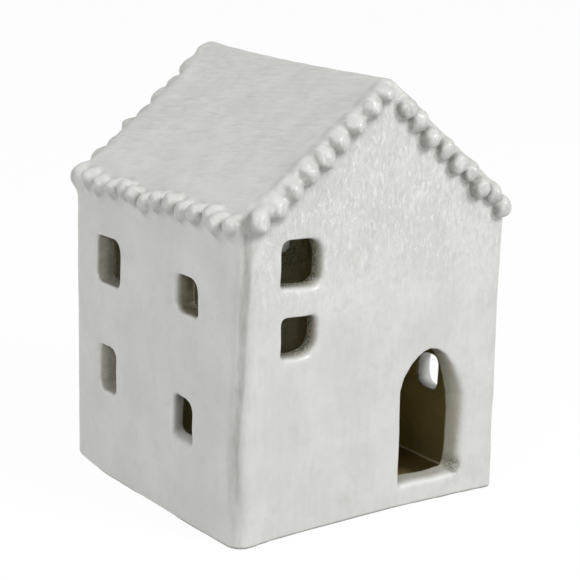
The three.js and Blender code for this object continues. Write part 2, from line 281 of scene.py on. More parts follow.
def corner_seam(x, y):
    """Distance from the groove that wanders down the near corner, where two slabs were luted."""
    degrees = 47 - 13 * ramp(-Z, -85, -40) + 6 * ramp(-Z, -30, -12) + 3 * np.sin(Z / 7)
    turn = np.radians(degrees)
    reach = NEAR_CORNER + SEAM_STAND
    across = x + HALF_WIDTH - NEAR_CORNER + reach * np.cos(turn)
    along = y + HALF_DEPTH - NEAR_CORNER + reach * np.sin(turn)
    width = SEAM_RADIUS - 1.6 * (1 - ramp(Z, 4, 20)) - 0.3 * (1 - ramp(Z, 36, 58))
    return (np.hypot(across, along) - width).astype(np.float32)


def slabs(dx, dy, dz):
    """The house without its beads, and how far each place lies outside or inside the house's outer face."""
    x, y, z = X - dx, Y - dy, Z - dz
    front_round = LEFT_VERGE_ROUND + (RIGHT_VERGE_ROUND - LEFT_VERGE_ROUND) * ramp(X, 10, 20)
    back_round = LEFT_VERGE_ROUND + (BACK_VERGE_ROUND - LEFT_VERGE_ROUND) * ramp(np.abs(X), 4, 14)
    verge_round = front_round + (back_round - front_round) * ramp(Y, -10, 10)
    edge_round = verge_round + (EAVE_ROUND - verge_round) * ramp(np.abs(X), 44, 53)
    outer = soft_max(plan_distance(x, y, 0, CORNERS), roof_distance(x, z, 0, RIDGE_ROUND), edge_round)
    body = soft_max(outer, -Z, FOOT_ROUND + FAR_FOOT_ROUND * ramp(Y, 25, 52) * ramp(-X, 35, 54))
    ceiling = roof_distance(x, z, WALL, ROOM_RIDGE_ROUND)
    room = soft_max(plan_distance(x, y, WALL, ROOM_CORNER), ceiling, ROOM_CORNER)
    room = soft_max(room, FLOOR - Z, INSIDE_ROUND)
    body = soft_max(body, -room, INSIDE_ROUND)
    light_hole = np.maximum(np.hypot(X, Y) - LIGHT_HOLE_RADIUS, Z - LIGHT_HOLE_TOP)
    body = soft_max(body, -light_hole, HOLE_ARRIS)
    across, along = np.abs(x), np.abs(y)
    for axis, way, openings in (
        (0, -1, LEFT_WINDOWS), (0, 1, RIGHT_WINDOWS), (1, -1, FRONT_WINDOWS + (DOOR,)), (1, 1, BACK_WINDOWS),
    ):
        depth = (HALF_WIDTH - across) if axis == 0 else (HALF_DEPTH - along)
        depth = np.broadcast_to(depth, SHAPE)
        for opening in openings:
            cut_opening(body, depth, axis, way, opening)
    seam = corner_seam(x, y)
    body = soft_max(body, -seam, SEAM_ARRIS)
    return body, outer, seam


# Beads: rows of rolled clay balls along the verges and eaves

LEFT_VERGE_BEAD = (8.2, 8.6, 8.0)
RIGHT_VERGE_BEAD = (7.5, 8.4, 7.9)
EAVE_BEAD = (6.6, 7.2, 7.6)
CORNER_BEAD = (7.8, 8.2, 8.4)
BACK_CORNER_BEAD = (9.8, 8.2, 8.8)
APEX_BEAD = (6.8, 8.2, 6.2)
FRONT_LINE = -(HALF_DEPTH + 0.2)
EAVE_LINE = HALF_WIDTH + 0.6
VERGE_DROP = 5.0  # middle of a back verge's bead under the roof's face
BACK_VERGE_START, BACK_VERGE_STEP = 44.4, 6.4
BACK_APEX, BACK_APEX_RISE = 0.2, 0.8
RIGHT_EAVE_START, RIGHT_EAVE_STEP, RIGHT_EAVE_HEIGHT = 45.6, 7.6, 107.9
# Each front bead: its place across and up the gable, and how far it stands out from the row
FRONT_LEFT_BEADS = (
    (-44.6, 113.6, 0.2), (-39.0, 118.4, 0.5), (-32.2, 123.6, -0.2), (-26.0, 128.1, 0.4), (-20.1, 133.0, -0.1),
    (-13.8, 137.6, 0.3), (-7.0, 142.8, -0.3),
)
FRONT_RIGHT_BEADS = (
    (7.5, 142.1, 0.3), (13.0, 137.6, -0.4), (18.0, 131.6, 0.9), (25.6, 127.3, -0.3), (30.8, 121.9, 0.6),
    (37.8, 118.4, -0.4), (41.6, 112.8, 1.1), (48.5, 110.0, -0.2),
)
FRONT_CORNERS = ((-50.8, 109.6, 0.4), (52.7, 104.9, 0.0))
FRONT_APEX = (-1.5, 147.0, -0.2)
BACK_CORNERS = ((-53.0, 53.0, 107.0), (52.8, 53.0, 106.6))
LEFT_EAVE_BEADS = (
    (42.3, 108.2, 0.3), (35.4, 106.6, -0.2), (26.2, 107.2, 0.2), (18.0, 108.4, 0.0), (12.0, 107.4, 0.4),
    (5.2, 105.6, -0.3), (-3.6, 108.0, 0.3), (-11.8, 108.6, 0.0), (-18.8, 107.0, -0.3), (-27.2, 108.0, 0.4),
    (-35.6, 108.9, -0.4), (-40.0, 106.8, 0.2), (-47.6, 107.6, 0.0),
)


def verge_height(x):
    return RIDGE_HEIGHT - SLOPE * abs(x) - VERGE_DROP / math.cos(PITCH)


def hidden_verge(side, rng):
    """Seven beads up a back verge, every second one set lower."""
    spots = []
    for step in range(7):
        x = side * (BACK_VERGE_START - BACK_VERGE_STEP * step + rng.uniform(-0.3, 0.3))
        z = verge_height(x) + (-1.5 if step % 2 else -0.4) + rng.uniform(-0.2, 0.2)
        spots.append((x, z, rng.uniform(-0.6, 0.6)))
    return spots


def hidden_eave(rng):
    """Thirteen beads along the right eave."""
    spots = []
    for step in range(13):
        y = RIGHT_EAVE_START - RIGHT_EAVE_STEP * step + rng.uniform(-0.7, 0.7)
        z = RIGHT_EAVE_HEIGHT + rng.uniform(-1.5, 1.5)
        spots.append((y, z, rng.uniform(-0.4, 0.4)))
    return spots


def gable_row(end, spots):
    """Beads on the front verges, or on the back ones, by the end's sign along the depth."""
    return [(x, end * (out - FRONT_LINE), z) for x, z, out in spots]


def eave_row(side, spots):
    return [(side * (EAVE_LINE + out), y, z) for y, z, out in spots]


def bead_tree():
    """Geometry Nodes that set one dented ball of clay on each point of a row."""
    tree = bpy.data.node_groups.new("bead_row", "GeometryNodeTree")
    sockets = {}
    for name, kind, way in (
        ("Row", "NodeSocketGeometry", "INPUT"),
        ("Bead Size", "NodeSocketVector", "INPUT"),
        ("Row Turn", "NodeSocketVector", "INPUT"),
        ("Size Spread", "NodeSocketFloat", "INPUT"),
        ("Dent Depth", "NodeSocketFloat", "INPUT"),
        ("Dent Scale", "NodeSocketFloat", "INPUT"),
        ("Seed", "NodeSocketInt", "INPUT"),
        ("Glaze", "NodeSocketMaterial", "INPUT"),
        ("Beads", "NodeSocketGeometry", "OUTPUT"),
    ):
        sockets[name] = tree.interface.new_socket(name, in_out=way, socket_type=kind).identifier

    def add(kind, settings=(), **links):
        node = tree.nodes.new(kind)
        for key, value in dict(settings).items():
            setattr(node, key, value)
        for key, value in links.items():
            numbered = key[0] == "i" and key[1:].isdigit()
            socket = node.inputs[int(key[1:]) if numbered else key.replace("_", " ")]
            if isinstance(value, bpy.types.NodeSocket):
                tree.links.new(value, socket)
            else:
                socket.default_value = value
        return node

    row = tree.nodes.new("NodeGroupInput").outputs
    ball = add("GeometryNodeMeshIcoSphere", Radius=0.5, Subdivisions=4)
    spread = add("FunctionNodeRandomValue", {"data_type": "FLOAT"}, Seed=row["Seed"])
    spread.inputs[2].default_value, spread.inputs[3].default_value = -1.0, 1.0
    grow = add("ShaderNodeMath", {"operation": "MULTIPLY_ADD"}, i0=spread.outputs[1], i1=row["Size Spread"], i2=1.0)
    size = add("ShaderNodeVectorMath", {"operation": "SCALE"}, i0=row["Bead Size"], Scale=grow.outputs[0])
    turn = add("FunctionNodeEulerToRotation", Euler=row["Row Turn"])
    balls = add(
        "GeometryNodeInstanceOnPoints",
        Points=row["Row"], Instance=ball.outputs[0], Rotation=turn.outputs[0], Scale=size.outputs[0],
    )
    whole = add("GeometryNodeRealizeInstances", Geometry=balls.outputs[0])
    dents = add(
        "ShaderNodeTexNoise", {"noise_dimensions": "4D"},
        W=row["Seed"], Scale=row["Dent Scale"], Detail=1.0, Roughness=0.4,
    )
    depth = add("ShaderNodeMath", {"operation": "SUBTRACT"}, i0=dents.outputs[0], i1=0.5)
    depth = add("ShaderNodeMath", {"operation": "MULTIPLY"}, i0=depth.outputs[0], i1=row["Dent Depth"])
    outward = add("GeometryNodeInputNormal")
    push = add("ShaderNodeVectorMath", {"operation": "SCALE"}, i0=outward.outputs[0], Scale=depth.outputs[0])
    moved = add("GeometryNodeSetPosition", Geometry=whole.outputs[0], Offset=push.outputs[0])
    glazed = add("GeometryNodeSetMaterial", Geometry=moved.outputs[0], Material=row["Glaze"])
    out = tree.nodes.new("NodeGroupOutput")
    tree.links.new(glazed.outputs[0], out.inputs[0])
    return tree, sockets


def bead_row(tree, sockets, name, spots, size, turn, spread, dent, dent_scale, seed, glaze):
    """Rolls one row of beads and returns each ball's points and faces, in millimetres."""
    seat = bpy.data.meshes.new(name)
    seat.from_pydata([Vector(spot) * MM for spot in spots], [], [])
    row = bpy.data.objects.new(name, seat)
    bpy.context.scene.collection.objects.link(row)
    roll = row.modifiers.new("bead_row", "NODES")
    roll.node_group = tree
    roll[sockets["Bead Size"]] = [side * MM for side in size]
    roll[sockets["Row Turn"]] = turn
    roll[sockets["Size Spread"]] = spread
    roll[sockets["Dent Depth"]] = dent * MM
    roll[sockets["Dent Scale"]] = dent_scale / MM
    roll[sockets["Seed"]] = seed
    roll[sockets["Glaze"]] = glaze
    graph = bpy.context.evaluated_depsgraph_get()
    mould = bpy.data.meshes.new_from_object(row.evaluated_get(graph), depsgraph=graph)
    places = np.empty(len(mould.vertices) * 3, np.float32)
    mould.vertices.foreach_get("co", places)
    faces = np.empty(len(mould.loops), np.int32)
    mould.loops.foreach_get("vertex_index", faces)
    row.modifiers.remove(roll)
    bpy.data.objects.remove(row)
    bpy.data.meshes.remove(mould)
    balls = places.reshape(len(spots), -1, 3) / MM
    rings = faces.reshape(len(spots), -1, 3) - (np.arange(len(spots)) * balls.shape[1])[:, None, None]
    return list(zip(balls, rings))


def press_in(field, ball, rings):
    """Joins one ball to the beads already in the block, with a little glaze in the crease."""
    at = (ball - np.array(LOW)) / VOXEL
    margin = int(BEAD_BAND / VOXEL) + 1
    start = np.floor(at.min(0)).astype(int) - margin
    count = np.ceil(at.max(0)).astype(int) + margin + 1 - start
    shell = openvdb.FloatGrid.createLevelSetFromPolygons(
        at.astype(np.float32), triangles=rings.astype(np.uint32), halfWidth=BEAD_BAND / VOXEL
    )
    block = np.full(count, BEAD_BAND / VOXEL, np.float32)
    shell.copyToArray(block, ijk=tuple(int(s) for s in start))
    block *= VOXEL
    low = np.maximum(start, 0)
    high = np.minimum(start + count, SHAPE)
    place = tuple(slice(a, b) for a, b in zip(low, high))
    inner = tuple(slice(a - s, b - s) for a, b, s in zip(low, high, start))
    field[place] = soft_min(field[place], block[inner], BEAD_TO_BEAD)


def beads(glaze):
    tree, sockets = bead_tree()
    field = np.full(SHAPE, BEAD_BAND, np.float32)
    rng = np.random.default_rng(11)
    back_left = hidden_verge(-1, rng)
    back_right = hidden_verge(1, rng)
    right_eave = hidden_eave(rng)
    apex = (BACK_APEX, verge_height(BACK_APEX) + BACK_APEX_RISE, 0.0)
    # Each row: its places, bead size, turn, spread of sizes, depth and scale of the dents, and seed
    rows = (
        ("front_left_row", gable_row(-1, FRONT_LEFT_BEADS), LEFT_VERGE_BEAD, (0, -PITCH, 0), 0.05, 1.9, 0.28, 3),
        ("front_right_row", gable_row(-1, FRONT_RIGHT_BEADS), RIGHT_VERGE_BEAD, (0, PITCH, 0), 0.05, 1.7, 0.26, 5),
        ("front_corners", gable_row(-1, FRONT_CORNERS), CORNER_BEAD, (0, 0, 0), 0.02, 1.7, 0.26, 8),
        ("front_apex", gable_row(-1, [FRONT_APEX]), APEX_BEAD, (0, 0, 0), 0.0, 1.3, 0.2, 13),
        ("left_eave_row", eave_row(-1, LEFT_EAVE_BEADS), EAVE_BEAD, (PITCH, 0, -math.pi / 2), 0.06, 1.6, 0.36, 21),
        ("back_left_row", gable_row(1, back_left), LEFT_VERGE_BEAD, (0, PITCH, math.pi), 0.05, 1.7, 0.26, 34),
        ("back_right_row", gable_row(1, back_right), LEFT_VERGE_BEAD, (0, -PITCH, math.pi), 0.05, 1.7, 0.26, 55),
        ("back_corners", BACK_CORNERS, BACK_CORNER_BEAD, (0, 0, math.pi), 0.02, 1.3, 0.2, 89),
        ("back_apex", gable_row(1, [apex]), APEX_BEAD, (0, 0, math.pi), 0.0, 1.3, 0.2, 144),
        ("right_eave_row", eave_row(1, right_eave), EAVE_BEAD, (PITCH, 0, math.pi / 2), 0.06, 1.6, 0.36, 233),
    )
    for name, *row in rows:
        for ball, rings in bead_row(tree, sockets, name, *row, glaze):
            press_in(field, ball, rings)
    bpy.data.node_groups.remove(tree)
    return field


# Unevenness that hands, brush and kiln leave: its depth, its size along each axis, and a seed
OUTER_LUMPS = ((0.32, (24, 24, 26), 1), (0.12, (8, 8, 9), 2), (0.05, (3.2, 3.2, 3.6), 3))
BRUSH_DEPTH, BRUSH_SIZE, BRUSH_SEED = 0.07, (2.4, 2.4, 4.0), 5
INNER_DEPTH, INNER_SIZE, INNER_SEED = 0.18, (7, 7, 7), 4


def glazed_house(glaze):
    """The whole glazed skin, with the fields that its finish follows."""
    body, outer, seam = slabs(*bends())
    ball = beads(glaze)
    roof_side = ramp(-plan_distance(X, Y, 0, CORNERS), -0.5, 3.0) * ramp(Z, 100, 106)
    wall_fillet = BEAD_TO_LEFT_GABLE + (BEAD_TO_WALL - BEAD_TO_LEFT_GABLE) * ramp(X, -6, 4)
    fillet = wall_fillet + (BEAD_TO_ROOF - wall_fillet) * roof_side
    skin = soft_min(body, ball, fillet)
    outside = ramp(outer, -5, -2)
    skin += outside * sum(deep * lumps(size, seed) for deep, size, seed in OUTER_LUMPS)
    skin += outside * BRUSH_DEPTH * ramp(Z, 70, 110) * lumps(BRUSH_SIZE, BRUSH_SEED)
    skin += (1 - outside) * INNER_DEPTH * lumps(INNER_SIZE, INNER_SEED)
    skin = soft_max(skin, -Z, BASE_ARRIS)
    return skin, outer, ball, seam


def curvature(field):
    """How much the skin bulges, in 1/mm: more than zero on a crest and less in a crease."""
    step = 2
    bulge = np.zeros_like(field)
    inner = (slice(step, -step),) * 3
    for axis in range(3):
        ahead, behind = list(inner), list(inner)
        ahead[axis], behind[axis] = slice(2 * step, None), slice(None, -2 * step)
        bulge[inner] += field[tuple(ahead)] + field[tuple(behind)]
    bulge[inner] -= 6 * field[inner]
    return bulge / (step * VOXEL) ** 2


def sample(field, points):
    """A field's value at points of the skin, in millimetres."""
    at = (points - np.array(LOW, np.float32)) / VOXEL
    base = np.clip(np.floor(at).astype(int), 0, np.array(SHAPE) - 2)
    t = at - base
    total = np.zeros(len(points), np.float32)
    for corner in range(8):
        step = np.array([corner & 1, corner >> 1 & 1, corner >> 2])
        weight = np.prod(np.where(step, t, 1 - t), axis=1)
        i, j, k = (base + step).T
        total += weight * field[i, j, k]
    return total


def slope_of(field, points, reach):
    """The field's outward direction at points, as unit vectors."""
    sides = []
    for axis in range(3):
        step = np.zeros(3, np.float32)
        step[axis] = reach
        sides.append(sample(field, points + step) - sample(field, points - step))
    direction = np.stack(sides, 1)
    return direction / np.maximum(np.linalg.norm(direction, axis=1, keepdims=True), 1e-6)


def hollowness(field, points, outward):
    """How deep in a crease or a hole each point lies, from 0 on an open face to about 1."""
    closed = np.zeros(len(points), np.float32)
    for reach, share in ((0.8, 0.35), (1.6, 0.3), (2.6, 0.35)):
        closed += share * np.clip(1 - sample(field, points + outward * reach) / reach, 0, 2)
    return closed


# Cutting the skin into the house's pieces


def mesh_object(name, points, faces):
    mesh = bpy.data.meshes.new(name)
    mesh.from_pydata(points, [], faces)
    made = bpy.data.objects.new(name, mesh)
    bpy.context.scene.collection.objects.link(made)
    return made


def cell(*planes):
    """A convex block of space on the inner side of each plane, given as a point in mm and its outward normal."""
    bm = bmesh.new()
    bmesh.ops.create_cube(bm, size=0.4)
    for point, normal in planes:
        geometry = bm.verts[:] + bm.edges[:] + bm.faces[:]
        bisected = bmesh.ops.bisect_plane(
            bm, geom=geometry, plane_co=Vector(point) * MM, plane_no=Vector(normal), clear_outer=True
        )
        rim = [e for e in bisected["geom_cut"] if isinstance(e, bmesh.types.BMEdge)]
        bmesh.ops.contextual_create(bm, geom=rim)
    bmesh.ops.recalc_face_normals(bm, faces=bm.faces)
    bmesh.ops.triangulate(bm, faces=bm.faces)
    mesh = bpy.data.meshes.new("cell")
    bm.to_mesh(mesh)
    bm.free()
    block = bpy.data.objects.new("cell", mesh)
    bpy.context.scene.collection.objects.link(block)
    return block


def carve(body, keep, *remove):
    """What of the body lies in one cell and outside the others, as a new mesh."""
    steps = [("INTERSECT", keep)] + [("DIFFERENCE", block) for block in remove]
    for way, block in steps:
        step = body.modifiers.new("carve", "BOOLEAN")
        step.operation, step.object, step.solver = way, block, "MANIFOLD"
    graph = bpy.context.evaluated_depsgraph_get()
    mesh = bpy.data.meshes.new_from_object(body.evaluated_get(graph), depsgraph=graph)
    body.modifiers.clear()
    return mesh


EAVE_BEADS_LOW = 96.5  # height of the eave rows' lower cut
VERGE_BEADS_LOW = 11.5  # depth of the verge rows' lower cut under the roof's face
FLOOR_CELL_TOP = 20.0
CUT_FACE = 0.6  # a face that turns further than this from the skin's own direction is a cut


def smooth_skin(mesh, outward):
    """Gives the skin its own direction, so that no cut between two pieces shows, and keeps the cuts flat."""
    corners = np.empty(len(mesh.loops), np.int32)
    mesh.loops.foreach_get("vertex_index", corners)
    faces = np.empty(len(mesh.polygons) * 3, np.float32)
    mesh.polygons.foreach_get("normal", faces)
    counts = np.empty(len(mesh.polygons), np.int32)
    mesh.polygons.foreach_get("loop_total", counts)
    flat = np.repeat(faces.reshape(-1, 3), counts, axis=0)
    smooth = outward[corners]
    is_cut = (flat * smooth).sum(1) < CUT_FACE
    mesh.normals_split_custom_set(np.where(is_cut[:, None], flat, smooth))


SEAT = 2.4  # the beads' cuts lie this far inside the walls' faces
INSIDE = 2.6  # the walls' inner cuts lie this far into the room
EAST, WEST, NORTH, SOUTH, UP, DOWN = (1, 0, 0), (-1, 0, 0), (0, 1, 0), (0, -1, 0), (0, 0, 1), (0, 0, -1)


def roof_plane(side, below):
    """A plane along a roof slab, at a depth under its top face."""
    return (0, 0, RIDGE_HEIGHT - below / math.cos(PITCH)), (side * math.sin(PITCH), 0, math.cos(PITCH))


def turned(plane):
    point, normal = plane
    return point, tuple(-n for n in normal)


def cells():
    face_x, face_y = HALF_WIDTH - SEAT, HALF_DEPTH - SEAT
    room_x, room_y = HALF_WIDTH - WALL - INSIDE, HALF_DEPTH - WALL - INSIDE
    ceiling = WALL + INSIDE
    left_roof, right_roof = roof_plane(-1, ceiling), roof_plane(1, ceiling)
    under_roof = (left_roof, right_roof)
    made = {
        "floor_slab": cell(
            ((room_x, 0, 0), EAST), ((-room_x, 0, 0), WEST), ((0, room_y, 0), NORTH), ((0, -room_y, 0), SOUTH),
            ((0, 0, FLOOR_CELL_TOP), UP),
        ),
        "front_gable_wall": cell(((0, -room_y, 0), NORTH), *under_roof),
        "back_gable_wall": cell(((0, room_y, 0), SOUTH), *under_roof),
        "left_wall": cell(((-room_x, 0, 0), EAST), ((0, room_y, 0), NORTH), ((0, -room_y, 0), SOUTH), left_roof),
        "right_wall": cell(((room_x, 0, 0), WEST), ((0, room_y, 0), NORTH), ((0, -room_y, 0), SOUTH), right_roof),
        "left_roof_slab": cell(
            ((0, 0, 0), EAST), turned(left_roof), ((-face_x, 0, 0), WEST),
            ((0, face_y, 0), NORTH), ((0, -face_y, 0), SOUTH),
        ),
        "right_roof_slab": cell(
            ((0, 0, 0), WEST), turned(right_roof), ((face_x, 0, 0), EAST),
            ((0, face_y, 0), NORTH), ((0, -face_y, 0), SOUTH),
        ),
        "left_eave_beads": cell(
            ((-face_x, 0, 0), EAST), ((0, 0, EAVE_BEADS_LOW), DOWN), ((0, face_y, 0), NORTH), ((0, -face_y, 0), SOUTH)
        ),
        "right_eave_beads": cell(
            ((face_x, 0, 0), WEST), ((0, 0, EAVE_BEADS_LOW), DOWN), ((0, face_y, 0), NORTH), ((0, -face_y, 0), SOUTH)
        ),
    }
    for end, out, line in (("front", NORTH, -face_y), ("back", SOUTH, face_y)):
        made[end + "_left_verge_beads"] = cell(
            ((0, line, 0), out), ((0, 0, 0), EAST), turned(roof_plane(-1, VERGE_BEADS_LOW))
        )
        made[end + "_right_verge_beads"] = cell(
            ((0, line, 0), out), ((0, 0, 0), WEST), turned(roof_plane(1, VERGE_BEADS_LOW))
        )
    return made


# Shader maths


class Wire:
    """One value in a material's nodes. Arithmetic on it adds Math nodes."""

    def __init__(self, tree, socket=None):
        self.tree, self.socket = tree, socket

    def add(self, kind, settings=None, sockets=None, out=0):
        """Adds a node: its settings, then its sockets' values or links. Returns one of its outputs."""
        node = self.tree.nodes.new(kind)
        for key, value in (settings or {}).items():
            setattr(node, key, value)
        for key, value in (sockets or {}).items():
            if isinstance(value, Wire):
                self.tree.links.new(value.socket, node.inputs[key])
            else:
                node.inputs[key].default_value = value
        return Wire(self.tree, node.outputs[out]) if node.outputs else None

    def math(self, operation, *values):
        return self.add("ShaderNodeMath", {"operation": operation}, dict(enumerate(values)))

    def __add__(self, other):
        return self.math("ADD", self, other)

    def __sub__(self, other):
        return self.math("SUBTRACT", self, other)

    def __rsub__(self, other):
        return self.math("SUBTRACT", other, self)

    def __mul__(self, other):
        return self.math("MULTIPLY", self, other)

    __radd__ = __add__
    __rmul__ = __mul__

    def step(self, low, high, bottom=0.0, top=1.0):
        """Rises smoothly from bottom to top as the value goes from low to high."""
        settings = {"interpolation_type": "SMOOTHSTEP", "clamp": True}
        return self.add("ShaderNodeMapRange", settings, {0: self, 1: low, 2: high, 3: bottom, 4: top})

    def mix(self, share, first, second):
        """A colour between two colours."""
        return self.add("ShaderNodeMix", {"data_type": "RGBA"}, {0: share, 6: first, 7: second}, 2)

    def stretch(self, scale):
        """A place in millimetres from this one, drawn out along its axes."""
        return self.add("ShaderNodeVectorMath", {"operation": "MULTIPLY"}, {0: self, 1: [s / MM for s in scale]})

    def part(self, axis):
        return self.add("ShaderNodeSeparateXYZ", None, {0: self}, axis)

    def along(self, direction):
        """How far a place lies along a direction."""
        return self.add("ShaderNodeVectorMath", {"operation": "DOT_PRODUCT"}, {0: self, 1: direction}, "Value")

    def noise(self, scale, detail=2.0, rough=0.5, twist=0.0):
        sockets = {"Vector": self, "Scale": scale, "Detail": detail, "Roughness": rough, "Distortion": twist}
        return self.add("ShaderNodeTexNoise", None, sockets)


def srgb(red, green, blue):
    """A colour as it is written for screens, from 0 to 255, in linear light."""
    parts = (c / 255 for c in (red, green, blue))
    return tuple(c / 12.92 if c <= 0.04045 else ((c + 0.055) / 1.055) ** 2.4 for c in parts) + (1.0,)


# Colours of the glaze where it lies thick
GLAZE_DULL, GLAZE_CLEAN = srgb(221, 222, 217), srgb(231, 231, 227)
GLAZE_CLOUD, GLAZE_FLECK = srgb(212, 213, 206), srgb(212, 212, 204)
STROKE_DARK, STROKE_PALE = srgb(209, 210, 203), srgb(238, 238, 235)
DAB_DARK, DAB_PALE = srgb(205, 206, 198), srgb(242, 242, 239)
# Painted light low on the roof, and a painted highlight along crisp arrises
LOW_ROOF_LIGHT, PAINTED_RIM_HIGHLIGHT = srgb(240, 240, 236), srgb(246, 246, 243)
# Colours of painted shade in the seam (there partly a dark joint), in hollows, in creases and on the beads' shaded
# side
SEAM_GREY, OCCLUSION_SHADE_GREY, CREASE_SHADE_GREY, BEAD_SHADE_GREY = (
    srgb(156, 156, 149), srgb(146, 143, 132), srgb(100, 98, 91), srgb(134, 133, 126)
)
# Colours of thin glaze in the reveals and of stain showing through it, both darkened with painted shade
THIN_GLAZE_AND_SHADE, REVEAL_STAIN_AND_SHADE = srgb(158, 152, 131), srgb(80, 72, 50)
# Colour of the painted contact shadow along the foot, and of grit in the door's corner
FOOT_SHADOW, NOOK_GRIT = srgb(120, 116, 104), srgb(104, 97, 82)
# Colours of the clay inside: low down, paler than the clay to stand in for the light in the room; with painted shade
# near the front; with painted light higher up; on the floor; and slip
INNER_PALE, INNER_DARK = srgb(186, 169, 100), srgb(172, 155, 85)
FRONT_INNER_SHADE = srgb(126, 111, 60)
UPPER_LIGHT_PALE, UPPER_LIGHT_DARK = srgb(241, 235, 204), srgb(231, 223, 188)
FLOOR_PALE, FLOOR_DARK = srgb(146, 128, 86), srgb(124, 107, 65)
SLIP_PALE = srgb(205, 196, 170)
# Ways of the brush over the roof
ROOF_ACROSS = (0.766, 0.174, 0.618)
ROOF_ALONG = (0.135, -0.985, 0.109)


def new_material(name):
    material = bpy.data.materials.new(name)
    material.use_nodes = True
    material.node_tree.nodes.clear()
    return material, Wire(material.node_tree)


def bump(start, height, strength, distance):
    return start.add("ShaderNodeBump", None, {"Strength": strength, "Distance": distance * MM, "Height": height})


def clay_shader(start, place, pale, dark, slip):
    """Bare fired clay, with grain, and pale slip where it was smoothed on."""
    even = place.stretch((1, 1, 1))
    grain = even.noise(1.4, 3.0, 0.6)
    colour = start.mix(even.noise(0.07, 2.0, 0.5).step(0.35, 0.7), dark, pale)
    colour = start.mix(slip, colour, SLIP_PALE)
    sockets = {"Base Color": colour, "Roughness": 0.9, "Specular IOR Level": 0.12}
    sockets["Normal"] = bump(start, grain, 0.4, 0.25)
    return start.add("ShaderNodeBsdfPrincipled", None, sockets)


def brushed(start, place, level, gable):
    """Marks of the brush: along the ridge on the roof, and up and down with short dabs on the gables."""
    across = place.along([part / MM for part in ROOF_ACROSS])
    along = place.along([part / MM for part in ROOF_ALONG])
    roof = start.add("ShaderNodeCombineXYZ", None, {0: along * 0.13, 1: across * 0.75, 2: 0.0})
    roof = roof.noise(1.0, 3.0, 0.65, 0.7)
    wall = place.stretch((0.5, 0.5, 0.09)).noise(1.0, 3.0, 0.6)
    strokes = start.add("ShaderNodeMix", {"data_type": "FLOAT"}, {0: level, 2: wall, 3: roof})
    share = level + gable * 0.4
    dabs = place.stretch((0.65, 0.65, 0.28)).noise(1.0, 2.0, 0.6, 1.2)
    return strokes, share, dabs


